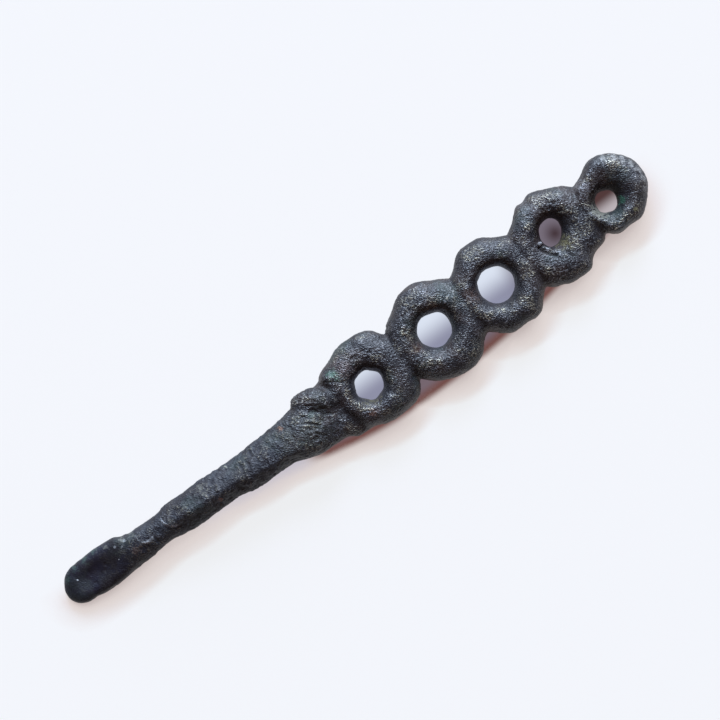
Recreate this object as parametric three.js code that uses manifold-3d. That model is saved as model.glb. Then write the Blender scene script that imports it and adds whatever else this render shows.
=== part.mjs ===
// Small cast ear spoon: a dished scoop, a plain shaft, a twisted neck and a handle of five rings.
// The rings are what two thick strands leave open as they cross over and under each other.
// Everything is one casting. It is given here in eight sections that meet face to face.
// Millimetres. +X runs from the scoop to the end ring, +Z up from the surface it lies on.

import * as THREE from 'three';
import { mergeVertices } from 'three/addons/utils/BufferGeometryUtils.js';
import Module from 'manifold-3d';

const wasm = await Module();
wasm.setup();

// Places along the stem, each counted from the one before, starting at the scoop's tip
const TIP_TO_WIDEST = 4.4;
const WIDEST_TO_BOWL_END = 2.9;
const BOWL_END_TO_WAIST = 2.4;
const WAIST_TO_SHAFT = 3.3;
const SHAFT_TO_FOOT = 10.6;
const FOOT_TO_NECK = 4.2;
const NECK_TO_FIRST_RING = 6.15;

// Widths of the stem, seen from above
const SCOOP_WIDTH = 3.85;
const BOWL_END_WIDTH = 3.5;
const WAIST_WIDTH = 2.85;
const SHAFT_WIDTH = 3.35;
const FOOT_WIDTH = 3.8;
const NECK_WIDTH = 5.5;
const SHOULDER_WIDTH = 5.1;

// Thicknesses of the stem, and how high its underside is above the surface it lies on
const TIP_THICKNESS = 1.0;
const SCOOP_THICKNESS = 1.75;
const BOWL_END_THICKNESS = 2.3;
const WAIST_THICKNESS = 2.7;
const SHAFT_THICKNESS = 3.1;
const FOOT_THICKNESS = 3.4;
const NECK_THICKNESS = 3.8;
const SHOULDER_THICKNESS = 2.7;
const BOWL_END_RISE = 0.15;
const WAIST_RISE = 0.4;
const SHAFT_RISE = 0.7;
const FOOT_RISE = 0.6;
const NECK_RISE = 0.3;

// How far the stem's middle wanders to the side of the handle's axis
const SCOOP_SIDEWAYS = 0.17;
const WAIST_SIDEWAYS = -0.12;
const SHAFT_SIDEWAYS = -0.22;
const FOOT_SIDEWAYS = -0.55;
const NECK_SIDEWAYS = -0.45;
const SHOULDER_SIDEWAYS = -0.7;

// Scoop: blunt round nose, and a shallow bowl in its upper face
const NOSE_LENGTH = 2.9;
const BOWL_LENGTH = 5.6;
const BOWL_WIDTH = 2.8;
const BOWL_DEPTH = 0.5;
const BOWL_WALL_AT_TIP = 0.8;

// Rings, in order from the neck to the free end
const RING_NAMES = ['ring_1', 'ring_2', 'ring_3', 'ring_4', 'ring_5'];
const RING_DIAMETERS = [8.5, 9.45, 8.95, 9.1, 7.05];
const RING_PITCHES = [7.45, 6.9, 6.9, 6.35];
const RING_SIDEWAYS = [-0.54, -0.45, -0.29, 0, 0.23];
const HOLE_DIAMETERS = [2.7, 3.35, 3.55, 2.35, 2.0];
const HOLE_AHEAD = [-0.5, -0.2, -0.12, -0.18, -0.86];
const HOLE_SIDEWAYS = [-0.32, 0.13, -0.12, 0.39, -0.39];
const RING_THICKNESS = 3.3;

// Strands that cross between two rings: one passes over, the other under
const OVER_LIFT = 0.85;
const UNDER_DROP = 0.35;

// Strand that leaves the neck and becomes the first ring's lower side
const NECK_STRAND_DIAMETER = 2.6;
const NECK_STRAND_LIFT = 0.75;

// A strand runs this deep below the skin of a ring where it leaves it, and twice that at its end
const STRAND_SUNK = 0.25;

// The underside is worn flat by this much where the rings lie on a surface
const REST_WEAR = 0.15;

// Fineness of the facets
const STEM_STEP = 0.85;
const NOSE_STEPS = 6;
const STEM_SIDES = 20;
const STEM_SQUARENESS = 2.5;
const RING_STEPS = 32;
const RING_SIDES = 12;
const STRAND_SIDES = 10;
const STRAND_STEPS = 10;

const FINISH = { roughness: 0.62, metalness: 0.55 };
const SCOOP_COLOUR = '#262c33';
const SHAFT_COLOUR = '#2c3238';
const NECK_COLOUR = '#333836';
const RING_COLOUR = '#34383c';

// Closed mesh as a solid, so that it can be joined and cut
function solid(geometry) {
  const bare = geometry.index ? geometry.clone() : mergeVertices(geometry);
  bare.deleteAttribute('normal');
  bare.deleteAttribute('uv');
  const merged = mergeVertices(bare);
  return new wasm.Manifold(new wasm.Mesh({
    numProp: 3,
    vertProperties: new Float32Array(merged.attributes.position.array),
    triVerts: new Uint32Array(merged.index.array),
  }));
}

// Solid as a mesh geometry again
function geometryOf(body) {
  const mesh = body.getMesh();
  const geometry = new THREE.BufferGeometry();
  geometry.setAttribute('position', new THREE.BufferAttribute(mesh.vertProperties, 3));
  geometry.setIndex(new THREE.BufferAttribute(mesh.triVerts, 1));
  geometry.computeVertexNormals();
  return geometry;
}

// Closed skin over rows of points, each row one outline, with a point at either end
function skinned(start, rows, end) {
  const sides = rows[0].length;
  const points = [start, ...rows.flat(), end];
  const last = points.length - 1;
  const faces = [];
  for (let side = 0; side < sides; side++) {
    const after = (side + 1) % sides;
    faces.push(0, 1 + after, 1 + side);
    faces.push(last, last - sides + side, last - sides + after);
    for (let row = 1; row < last - sides; row += sides) {
      faces.push(row + side, row + after, row + sides + side);
      faces.push(row + after, row + sides + after, row + sides + side);
    }
  }
  const geometry = new THREE.BufferGeometry().setFromPoints(points);
  geometry.setIndex(faces);
  return solid(geometry);
}

// Box between two corners
function block(low, high) {
  const size = high.clone().sub(low);
  const geometry = new THREE.BoxGeometry(size.x, size.y, size.z);
  const middle = low.clone().add(high).multiplyScalar(1 / 2);
  geometry.translate(middle.x, middle.y, middle.z);
  return solid(geometry);
}

// Stations of the stem
const widestX = TIP_TO_WIDEST;
const bowlEndX = widestX + WIDEST_TO_BOWL_END;
const waistX = bowlEndX + BOWL_END_TO_WAIST;
const shaftX = waistX + WAIST_TO_SHAFT;
const footX = shaftX + SHAFT_TO_FOOT;
const neckX = footX + FOOT_TO_NECK;
const ringCentreHeight = RING_THICKNESS / 2 - REST_WEAR;

// Middle and hole of each ring
const rings = RING_NAMES.map((name, i) => {
  const x = RING_PITCHES.slice(0, i).reduce((sum, pitch) => sum + pitch, neckX + NECK_TO_FIRST_RING);
  return {
    name,
    centre: new THREE.Vector2(x, RING_SIDEWAYS[i]),
    radius: RING_DIAMETERS[i] / 2,
    hole: new THREE.Vector2(x + HOLE_AHEAD[i], RING_SIDEWAYS[i] + HOLE_SIDEWAYS[i]),
    holeRadius: HOLE_DIAMETERS[i] / 2,
  };
});

// Width, place sideways, rise and thickness of the stem at its stations
const endX = rings[0].hole.x - rings[0].holeRadius - NECK_STRAND_DIAMETER / 2;
const shoulderRise = ringCentreHeight - SHOULDER_THICKNESS / 2;
const stations = [
  [0, SCOOP_WIDTH, SCOOP_SIDEWAYS, 0, TIP_THICKNESS],
  [widestX, SCOOP_WIDTH, SCOOP_SIDEWAYS, 0, SCOOP_THICKNESS],
  [bowlEndX, BOWL_END_WIDTH, SCOOP_SIDEWAYS, BOWL_END_RISE, BOWL_END_THICKNESS],
  [waistX, WAIST_WIDTH, WAIST_SIDEWAYS, WAIST_RISE, WAIST_THICKNESS],
  [shaftX, SHAFT_WIDTH, SHAFT_SIDEWAYS, SHAFT_RISE, SHAFT_THICKNESS],
  [footX, FOOT_WIDTH, FOOT_SIDEWAYS, FOOT_RISE, FOOT_THICKNESS],
  [neckX, NECK_WIDTH, NECK_SIDEWAYS, NECK_RISE, NECK_THICKNESS],
  [endX, SHOULDER_WIDTH, SHOULDER_SIDEWAYS, shoulderRise, SHOULDER_THICKNESS],
];

// How fast one size changes at a station: the two neighbouring slopes' harmonic mean, 0 at a turn
function slopeAt(i, size) {
  const before = stations[i - 1];
  const after = stations[i + 1];
  if (!before || !after) return 0;
  const slopeBefore = (stations[i][size] - before[size]) / (stations[i][0] - before[0]);
  const slopeAfter = (after[size] - stations[i][size]) / (after[0] - stations[i][0]);
  if (slopeBefore * slopeAfter <= 0) return 0;
  return 2 / (1 / slopeBefore + 1 / slopeAfter);
}

// The same sizes at any place along the stem, on a cubic curve between two stations
function stemAt(x) {
  const i = Math.max(1, stations.findIndex((station) => station[0] >= x));
  const [from, to] = [stations[i - 1], stations[i]];
  const span = to[0] - from[0];
  const t = (x - from[0]) / span;
  const rounding = t * t * (3 - 2 * t);
  const [, width, sideways, rise, thickness] = from.map((start, size) => (
    THREE.MathUtils.lerp(start, to[size], rounding)
    + span * t * (1 - t) * ((1 - t) * slopeAt(i - 1, size) - t * slopeAt(i, size))
  ));
  return { width, sideways, rise, thickness };
}

// Distance from the hole's middle to the ring's outer circle, in one direction
function reach(ring, direction) {
  const offset = ring.hole.clone().sub(ring.centre);
  const along = offset.dot(direction);
  return -along + Math.sqrt(along * along + ring.radius ** 2 - offset.lengthSq());
}

// Place on the middle line of a ring's strand at an angle about its hole, and its radius there
function strandAt(ring, degrees, lift, inset) {
  const angle = THREE.MathUtils.degToRad(degrees);
  const direction = new THREE.Vector2(Math.cos(angle), Math.sin(angle));
  const outer = reach(ring, direction);
  const middle = ring.hole.clone().addScaledVector(direction, (ring.holeRadius + outer) / 2);
  const point = new THREE.Vector3(middle.x, middle.y, ringCentreHeight + lift);
  return { point, radius: Math.min((outer - ring.holeRadius) / 2, RING_THICKNESS / 2) - inset };
}

// Ring: a torus whose tube fills the space between the round hole and the outer circle
function ringSolid(ring) {
  const geometry = new THREE.TorusGeometry(1, 1 / 2, RING_SIDES, RING_STEPS);
  const position = geometry.attributes.position;
  for (let i = 0; i < position.count; i++) {
    const direction = new THREE.Vector2(position.getX(i), position.getY(i));
    const across = (direction.length() - 1) * 2;
    direction.normalize();
    const outer = reach(ring, direction);
    const middle = (ring.holeRadius + outer) / 2;
    const halfWidth = (outer - ring.holeRadius) / 2;
    const place = ring.hole.clone().addScaledVector(direction, middle + halfWidth * across);
    position.setXYZ(i, place.x, place.y, ringCentreHeight + RING_THICKNESS * position.getZ(i));
  }
  return solid(geometry);
}

// Round strand along a smooth curve through stops that each give a point and a radius
function strandSolid(stops) {
  const curve = new THREE.CatmullRomCurve3(stops.map((stop) => stop.point));
  const radii = new THREE.CatmullRomCurve3(stops.map((stop) => new THREE.Vector3(stop.radius, 0, 0)));
  const frames = curve.computeFrenetFrames(STRAND_STEPS);
  const rows = frames.normals.map((normal, i) => {
    const share = i / STRAND_STEPS;
    const centre = curve.getPointAt(share);
    const radius = radii.getPoint(curve.getUtoTmapping(share)).x;
    return Array.from({ length: STRAND_SIDES }, (_, side) => {
      const angle = (2 * Math.PI * side) / STRAND_SIDES;
      return centre.clone()
        .addScaledVector(normal, radius * Math.cos(angle))
        .addScaledVector(frames.binormals[i], radius * Math.sin(angle));
    });
  });
  return skinned(curve.getPoint(0), rows, curve.getPoint(1));
}

// The two strands between neighbouring rings, each from one ring's arc into the other's
function crossingSolids(ring, next) {
  const middle = new THREE.Vector3(seamBetween(ring, next), (ring.hole.y + next.hole.y) / 2);
  return [[1, -UNDER_DROP], [-1, OVER_LIFT]].map(([side, lift]) => {
    const leaving = strandAt(ring, side * 45, lift / 3, STRAND_SUNK);
    const arriving = strandAt(next, 180 + side * 45, lift / 3, STRAND_SUNK);
    const crossing = {
      point: middle.clone().setZ(ringCentreHeight + lift),
      radius: (leaving.radius + arriving.radius) / 2,
    };
    return strandSolid([
      strandAt(ring, side * 90, 0, 2 * STRAND_SUNK),
      leaving,
      crossing,
      arriving,
      strandAt(next, 180 + side * 90, 0, 2 * STRAND_SUNK),
    ]);
  });
}

// Middle of the web between two holes, where two ring sections meet
function seamBetween(ring, next) {
  return (ring.hole.x + ring.holeRadius + next.hole.x - next.holeRadius) / 2;
}

// Strand that lies across the neck and runs into the first ring's lower side
function neckStrandSolid(ring) {
  const radius = NECK_STRAND_DIAMETER / 2;
  const height = NECK_RISE + NECK_THICKNESS / 2;
  const edge = NECK_SIDEWAYS + NECK_WIDTH / 2 - radius;
  const ringEdge = ring.centre.x - ring.radius;
  return strandSolid([
    { point: new THREE.Vector3(neckX, edge - radius / 2, height), radius: radius - STRAND_SUNK },
    { point: new THREE.Vector3(neckX + radius / 2, edge, height + NECK_STRAND_LIFT / 2), radius },
    { point: new THREE.Vector3(ringEdge + radius / 2, ring.centre.y, height + NECK_STRAND_LIFT), radius },
    strandAt(ring, 225, 0, STRAND_SUNK),
    strandAt(ring, 260, 0, 2 * STRAND_SUNK),
  ]);
}

// Stem from the scoop's tip into the first ring: rounded square sections along the stations
function stemSolid() {
  // Places of the sections: close together round the nose, then evenly spaced
  const bodySteps = Math.ceil((endX - NOSE_LENGTH) / STEM_STEP);
  const places = [];
  for (let i = 1; i < NOSE_STEPS; i++) {
    places.push(NOSE_LENGTH * (1 - Math.cos((Math.PI / 2) * (i / NOSE_STEPS))));
  }
  for (let i = 0; i <= bodySteps; i++) {
    places.push(THREE.MathUtils.lerp(NOSE_LENGTH, endX, i / bodySteps));
  }

  // Closed outline at each place
  const power = 2 / STEM_SQUARENESS;
  const rows = places.map((x) => {
    const { width, sideways, rise, thickness } = stemAt(x);
    const nose = x < NOSE_LENGTH ? Math.sqrt(1 - (1 - x / NOSE_LENGTH) ** 2) : 1;
    return Array.from({ length: STEM_SIDES }, (_, side) => {
      const angle = (2 * Math.PI * side) / STEM_SIDES;
      const across = Math.sign(Math.cos(angle)) * Math.abs(Math.cos(angle)) ** power;
      const up = Math.sign(Math.sin(angle)) * Math.abs(Math.sin(angle)) ** power;
      return new THREE.Vector3(
        x,
        sideways + (width / 2) * nose * across,
        rise + (thickness / 2) * (1 + nose * up),
      );
    });
  });
  return skinned(
    new THREE.Vector3(0, SCOOP_SIDEWAYS, TIP_THICKNESS / 2),
    rows,
    new THREE.Vector3(endX, SHOULDER_SIDEWAYS, ringCentreHeight),
  );
}

// Shallow bowl: the lower half of an ellipsoid, laid along the slope of the scoop's upper face
function bowlSolid() {
  const nearX = BOWL_WALL_AT_TIP;
  const farX = nearX + BOWL_LENGTH;
  const [near, far] = [stemAt(nearX), stemAt(farX)];
  const slope = (far.rise + far.thickness - near.rise - near.thickness) / BOWL_LENGTH;
  const height = (far.rise + far.thickness + near.rise + near.thickness) / 2;
  const geometry = new THREE.SphereGeometry(1, 20, 12);
  geometry.scale(BOWL_LENGTH / 2, BOWL_WIDTH / 2, BOWL_DEPTH);
  geometry.rotateY(-Math.atan(slope));
  geometry.translate((nearX + farX) / 2, SCOOP_SIDEWAYS, height);
  return solid(geometry);
}

// The whole casting
let casting = stemSolid().subtract(bowlSolid()).add(neckStrandSolid(rings[0]));
rings.forEach((ring, i) => {
  casting = casting.add(ringSolid(ring));
  if (i > 0) {
    for (const strand of crossingSolids(rings[i - 1], ring)) {
      casting = casting.add(strand);
    }
  }
});

// Cut it into sections between planes square to the axis, all worn flat at the same height
const room = Math.max(...RING_DIAMETERS);
const seams = [-room, bowlEndX, footX, rings[0].centre.x - rings[0].radius];
for (let i = 1; i < rings.length; i++) {
  seams.push(seamBetween(rings[i - 1], rings[i]));
}
seams.push(rings.at(-1).centre.x + room);
const names = ['scoop', 'shaft', 'neck', ...RING_NAMES];
const colours = [SCOOP_COLOUR, SHAFT_COLOUR, NECK_COLOUR, ...RING_NAMES.map(() => RING_COLOUR)];

const earSpoon = new THREE.Group();
names.forEach((name, i) => {
  const slab = block(
    new THREE.Vector3(Math.fround(seams[i]), -room, 0),
    new THREE.Vector3(Math.fround(seams[i + 1]), room, room),
  );
  const mesh = new THREE.Mesh(
    geometryOf(casting.intersect(slab)),
    new THREE.MeshStandardMaterial({ color: colours[i], ...FINISH }),
  );
  mesh.name = name;
  earSpoon.add(mesh);
});

// Origin under the middle of the box that holds the whole spoon
const box = new THREE.Box3().setFromObject(earSpoon);
const middle = box.getCenter(new THREE.Vector3());
earSpoon.position.set(-middle.x, -middle.y, -box.min.z);

export default earSpoon;
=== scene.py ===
"""Small cast ear spoon: a dished scoop, a plain shaft, a lumpy neck and a handle of five rings.

Shapes are worked out in millimetres, with +X from the scoop to the end ring and z = 0 on the floor.
Places along the spoon are counted from the scoop's tip, and moved into the row frame at the end.
"""

import math

import bmesh
import bpy
import numpy as np
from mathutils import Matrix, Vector


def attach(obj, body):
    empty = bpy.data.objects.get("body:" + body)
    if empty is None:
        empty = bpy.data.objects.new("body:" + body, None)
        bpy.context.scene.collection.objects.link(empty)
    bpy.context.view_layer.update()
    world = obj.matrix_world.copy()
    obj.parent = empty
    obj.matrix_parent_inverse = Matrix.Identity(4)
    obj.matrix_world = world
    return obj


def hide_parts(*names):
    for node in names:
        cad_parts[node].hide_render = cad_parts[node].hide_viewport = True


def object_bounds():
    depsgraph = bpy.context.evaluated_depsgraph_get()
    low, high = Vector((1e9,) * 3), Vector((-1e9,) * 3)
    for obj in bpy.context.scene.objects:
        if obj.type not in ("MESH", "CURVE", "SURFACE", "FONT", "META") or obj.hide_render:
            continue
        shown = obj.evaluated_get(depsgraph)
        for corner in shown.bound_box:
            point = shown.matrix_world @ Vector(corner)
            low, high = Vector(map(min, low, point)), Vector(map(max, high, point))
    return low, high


MM = 0.001

# Driving sizes, in millimetres

# Where the row frame's origin is, seen from the scoop's tip and from the handle's axis
ORIGIN_FROM_TIP = 32.527
ORIGIN_SIDEWAYS = -0.313

# Stem: from the tip, upper edge, lower edge, underside, top, then for the upper half how far its
# ridge leans to the upper edge, as a share of half the breadth, and how square it is
STEM = np.array([
    (0.0, 1.72, -1.5, 0.02, 0.95, 0.0, 2.3),
    (1.5, 1.93, -1.55, 0.02, 1.25, 0.0, 2.3),
    (4.0, 2.12, -1.84, 0.0, 1.7, 0.0, 2.3),
    (5.6, 2.02, -1.82, 0.05, 1.95, 0.0, 2.3),
    (6.5, 1.92, -1.75, 0.12, 2.2, 0.0, 2.2),
    (7.3, 1.5, -1.67, 0.2, 2.5, 0.05, 2.1),
    (8.8, 1.32, -1.66, 0.35, 2.85, 0.1, 2.0),
    (10.8, 1.34, -1.54, 0.5, 3.1, 0.1, 1.9),
    (12.4, 1.52, -1.8, 0.65, 3.45, 0.0, 1.55),
    (13.5, 1.5, -1.92, 0.7, 3.6, -0.08, 1.45),
    (16.0, 1.46, -1.95, 0.7, 3.7, -0.12, 1.4),
    (18.1, 1.3, -1.99, 0.7, 3.75, -0.15, 1.4),
    (19.9, 1.18, -2.34, 0.65, 3.8, -0.22, 1.45),
    (21.8, 1.2, -2.38, 0.6, 3.85, -0.33, 1.55),
    (23.8, 1.33, -2.5, 0.55, 3.9, -0.42, 1.65),
    (25.4, 1.52, -3.08, 0.45, 3.92, -0.3, 1.9),
    (26.6, 1.75, -3.32, 0.4, 3.9, -0.2, 2.0),
    (27.7, 2.1, -3.4, 0.3, 3.7, -0.1, 2.1),
    (29.0, 1.95, -3.45, 0.2, 3.2, 0.0, 2.2),
    (30.2, 2.1, -4.12, 0.15, 2.8, 0.0, 2.3),
    (31.4, 1.8, -4.2, 0.12, 2.7, 0.0, 2.3),
])
NOSE_LENGTH = 1.75
UNDERSIDE_SQUARENESS = 2.35
STEM_STEP = 0.12

# Bowl of the scoop
BOWL_FROM_TIP = 3.6
BOWL_LENGTH = 6.4
BOWL_WIDTH = 3.1
BOWL_DEPTH = 0.42

# Rings: middle from the tip, middle sideways, diameter, hole ahead, hole sideways, hole diameter, and how
# far the crest leans outwards on the upper and the lower side, as a share of half the strand's breadth
RINGS = np.array([
    (33.95, -0.54, 8.5, -0.47, -0.27, 2.54, -0.25, -0.15),
    (41.4, -0.45, 9.45, -0.18, 0.1, 3.2, -0.2, -0.1),
    (48.3, -0.29, 8.95, -0.12, -0.14, 3.32, -0.25, 0.0),
    (55.2, 0.0, 9.1, -0.28, 0.54, 2.2, -0.1, 0.0),
    (61.5, 0.2, 6.95, -0.84, -0.38, 2.0, 0.35, 0.1),
])
RING_CENTRE_HEIGHT = 1.52
RING_THICKNESS = 3.3
# How far each hole is from round: number of corners, share of its radius, and turn in degrees
HOLE_CORNERS = [(6, 0.04, 12), (5, 0.02, 40), (8, 0.015, 0), (2, 0.13, 53.5), (4, 0.04, 20)]
# Bulges and dents of each ring's outside: direction and half-width in degrees, and how far it stands out
RING_DENTS = [
    [(62, 22, 0.15), (145, 25, 0.55), (230, 14, 0.3), (305, 28, 0.38)],
    [(62, 22, -0.26), (124, 22, -0.24), (240, 40, -0.14), (312, 16, -0.3)],
    [(58, 24, -0.3), (104, 12, 0.12), (130, 20, -0.26), (252, 22, 0.28), (288, 18, 0.42)],
    [(66, 26, -0.18), (99, 10, -0.26), (128, 24, -0.4), (228, 16, 0.26), (250, 14, 0.12), (298, 20, -0.6)],
    [(58, 22, 0.1), (78, 20, 0.18), (116, 26, -0.46), (240, 28, 0.46), (284, 16, 0.1), (318, 24, -0.09)],
]

# Strands between the rings, and the metal that fills the hollows between them
OVER_LIFT = 0.25
UNDER_DROP = 0.2
STRAND_SUNK = 0.2
WEB_BREADTH = 3.3
WEB_SHARE = 0.42
WEB_LOWER = 0.22

# Neck: strand that lies across it, and the lump beside the first ring
NECK_ROLL = [
    (26.7, 1.4, 1.9, 0.8),
    (27.6, 1.35, 2.25, 1.1),
    (28.7, 0.9, 2.42, 1.25),
    (29.7, 0.1, 2.15, 1.1),
    (30.4, -0.4, 1.9, 0.8),
]
NECK_LUMPS = [
    ((31.0, 1.6, 1.8), (1.15, 1.1, 1.3)),
    ((30.7, 0.5, 1.95), (1.15, 1.0, 1.15)),
]

# Cast skin: size of the lumps, and how far they stand up
SKIN_LUMPS = [(2.6, 0.1), (1.1, 0.05), (0.5, 0.02)]

# Hammered facets on the stem, and where they and the grit begin behind the smooth scoop
FACET_SIZE = 1.3
FACET_HEIGHT = 0.07
SCOOP_END = (5.5, 8.0)
GRAIN_DIRECTION = -36.5
GRIT_HEIGHT = 0.024
GRIT_LENGTH = 0.2
GRIT_BREADTH = 0.15
# Small teeth on the stem's outline
TOOTH_SIZE = 0.55
TOOTH_HEIGHT = 0.055

# Scales on the shaft: middle from the tip, middle sideways, radius, step, where it has faded away,
# and the direction and half-width of its rim in degrees
SCALES = [
    (9.15, 0.48, 0.84, 0.09, 10.3, 235, 85),
    (12.3, 0.42, 1.2, 0.12, 13.2, 215, 65),
]
# Grooves (below 0) and ridges drawn on the casting: height, width, and the line from the tip
MARK_LINES = [
    (-0.06, 0.1, [(26.3, 1.7), (27.1, 1.15), (28.0, 0.25), (28.8, -0.6), (29.5, -1.0)]),
    (-0.07, 0.3, [(30.1, 2.1), (30.3, 1.3), (29.9, -0.2), (29.8, -1.6)]),
    (-0.07, 0.14, [(30.4, 1.8), (31.7, 0.75)]),
    (-0.3, 0.12, [(53.3, 0.0), (53.42, -0.42), (53.66, -0.92), (54.1, -1.44)]),
    (0.2, 0.12, [(53.6, -0.25), (53.77, -0.6), (54.0, -0.75)]),
]
# Round bumps (above 0) and pits: middle from the tip, middle sideways, radius, height
MARK_BUMPS = [
    (53.55, 0.22, 0.3, 0.24),
    (9.12, -0.14, 0.16, -0.1),
]
# Wrinkled stretches on the neck and along the shaft: middle from the tip, half-length, depth, and the
# wrinkles' direction in degrees, length, breadth and seed
WRINKLED = [
    (27.7, 3.2, 0.07, -46, 0.8, 0.26, 31),
    (20.0, 8.5, 0.07, -98, 0.9, 0.34, 32),
]

# Where the scoop's finish and the shaft's go over into the next, along the row frame
SCOOP_FADES = (-28.5, -22.0)
SHAFT_FADES = (-11.0, -4.0)

VOXEL = 0.075
BLEND_PASSES = 26

# Sections of the casting: name, material slot, and where it begins in the row frame
SECTIONS = [
    ("scoop", "scoop_patina", -40.0),
    ("shaft", "shaft_patina", -25.227),
    ("neck", "neck_patina", -8.927),
    ("ring_1", "ring_patina", -2.827),
    ("ring_2", "ring_patina", 4.636),
    ("ring_3", "ring_patina", 12.113),
    ("ring_4", "ring_patina", 19.373),
    ("ring_5", "ring_patina", 25.416),
]
SPOON_END = 40.0


# Curves and surfaces

def track(at, places, values):
    """Cubic through the values. The slope at a place is the harmonic mean of the two beside it, 0 at a turn."""
    step = np.diff(places)
    rise = np.diff(values) / step
    slope = np.zeros(len(values))
    same = rise[:-1] * rise[1:] > 0
    slope[1:-1][same] = 2 / (1 / rise[:-1][same] + 1 / rise[1:][same])
    i = np.clip(np.searchsorted(places, at) - 1, 0, len(step) - 1)
    t = (at - places[i]) / step[i]
    rounding = t * t * (3 - 2 * t)
    bend = step[i] * t * (1 - t) * ((1 - t) * slope[i] - t * slope[i + 1])
    return values[i] * (1 - rounding) + values[i + 1] * rounding + bend


def hill(distance):
    """1 in the middle, 0 from distance 1 on, with soft ends: (1 - d^2)^2."""
    return np.clip(1 - distance * distance, 0, None) ** 2


def curve_through(stops, count):
    """Points on the curve through the stops. Each span is a cubic with half the neighbours' chord as slope."""
    stops = np.asarray(stops, float)
    padded = np.vstack([2 * stops[0] - stops[1], stops, 2 * stops[-1] - stops[-2]])
    s = np.linspace(0, len(stops) - 1, count)
    i = np.clip(s.astype(int), 0, len(stops) - 2)
    t = (s - i)[:, None]
    before, start, end, after = (padded[i + k] for k in range(4))
    return 0.5 * (
        2 * start
        + (end - before) * t
        + (2 * before - 5 * start + 4 * end - after) * t**2
        + (3 * start - before - 3 * end + after) * t**3
    )


def leaning(across, share):
    """Places across a strip, from -1 to 1, moved so that its middle comes to the share and its edges stay."""
    return share + np.where(across > 0, 1 - share, 1 + share) * across


def closed_grid(points, ends_closed):
    """Vertices and quads of a grid of rows, wrapped round its sides. Its ends meet or get end points."""
    rows, sides = points.shape[:2]
    vertices = points.reshape(-1, 3)
    row, side = np.meshgrid(np.arange(rows), np.arange(sides), indexing="ij")
    following = (side + 1) % sides
    last = rows if ends_closed else rows - 1
    quads = np.stack([
        row * sides + side,
        row * sides + following,
        (row + 1) % rows * sides + following,
        (row + 1) % rows * sides + side,
    ], -1)[:last].reshape(-1, 4)
    if ends_closed:
        return vertices, [quads]
    total = len(vertices)
    vertices = np.vstack([vertices, points[0].mean(0), points[-1].mean(0)])
    side = np.arange(sides)
    following = (side + 1) % sides
    first = np.stack([following, side, np.full(sides, total)], -1)
    final = np.stack([side, following, np.full(sides, total + 1)], -1)
    final[:, :2] += total - sides
    return vertices, [quads, first, final]


def stem_surface():
    """Stem: at each place a rounded square, |y|^n + |z|^n = 1, between its four edges.

    A quarter circle rounds the nose. The bowl is a smooth hollow in the upper face, as deep as
    (1 - distance^2)^2 from its middle.
    """
    places = STEM[:, 0]
    nose = NOSE_LENGTH * (1 - np.cos(np.linspace(0.06, 1, 24) * math.pi / 2))
    x = np.concatenate([nose, np.arange(NOSE_LENGTH + STEM_STEP, places[-1], STEM_STEP)])
    upper, lower, bottom, top, ridge, squareness = (track(x, places, STEM[:, k])[:, None] for k in range(1, 7))
    shrink = np.sqrt(np.clip(1 - np.clip(1 - x / NOSE_LENGTH, 0, 1) ** 2, 0, 1))[:, None]
    turn = np.linspace(0, 2 * math.pi, 96, endpoint=False)[None]
    above = np.sin(turn) > 0
    power = 2 / np.where(above, squareness, UNDERSIDE_SQUARENESS)
    across = np.sign(np.cos(turn)) * np.abs(np.cos(turn)) ** power
    across = np.where(above, leaning(across, ridge), across)
    up = np.sign(np.sin(turn)) * np.abs(np.sin(turn)) ** power
    y = (upper + lower) / 2 + (upper - lower) / 2 * shrink * across
    z = (bottom + top) / 2 + (top - bottom) / 2 * (0.15 + 0.85 * shrink) * up
    bowl_place = np.array([BOWL_FROM_TIP])
    middle = (track(bowl_place, places, STEM[:, 1]) + track(bowl_place, places, STEM[:, 2])) / 2
    along = (x[:, None] - BOWL_FROM_TIP) / (BOWL_LENGTH / 2)
    aside = (y - middle) / (BOWL_WIDTH / 2)
    z = z - np.where(up > 0, BOWL_DEPTH * hill(np.hypot(along, aside)), 0)
    return closed_grid(np.stack([np.broadcast_to(x[:, None], y.shape), y, z], -1), False)


def ring_reach(ring, angle):
    """Distances from a hole's middle to its edge, and to the ring's dented outside, in the angles' directions."""
    number = int(np.argmin(np.abs(RINGS[:, 0] - ring[0])))
    offset = ring[3:5]
    along = offset[0] * np.cos(angle) + offset[1] * np.sin(angle)
    outer = -along + np.sqrt(along**2 + (ring[2] / 2) ** 2 - offset @ offset)
    corners, share, turned = HOLE_CORNERS[number]
    inner = ring[5] / 2 * (1 + share * np.cos(corners * (angle - math.radians(turned))))
    seen = np.degrees(np.arctan2(offset[1] + outer * np.sin(angle), offset[0] + outer * np.cos(angle)))
    for direction, width, height in RING_DENTS[number]:
        apart = (seen - direction + 180) % 360 - 180
        outer = outer + height * hill(apart / width)
    return inner, outer


def ring_surface(ring):
    """Ring: round its hole by one angle, round its strand by the other. An oval strand fills hole to outside."""
    angle = np.linspace(0, 2 * math.pi, 320, endpoint=False)[:, None]
    about = np.linspace(0, 2 * math.pi, 96, endpoint=False)[None]
    inner, outer = ring_reach(ring, angle)
    lean = ring[7] + (ring[6] - ring[7]) * (1 + np.sin(angle)) / 2
    across = np.where(np.sin(about) > 0, leaning(np.cos(about), lean), np.cos(about))
    distance = (inner + outer) / 2 + (outer - inner) / 2 * across
    x = ring[0] + ring[3] + distance * np.cos(angle)
    y = ring[1] + ring[4] + distance * np.sin(angle)
    z = RING_CENTRE_HEIGHT + RING_THICKNESS / 2 * np.sin(about) + 0 * angle
    return closed_grid(np.stack([x, y, z], -1)[:, ::-1], True)


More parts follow.
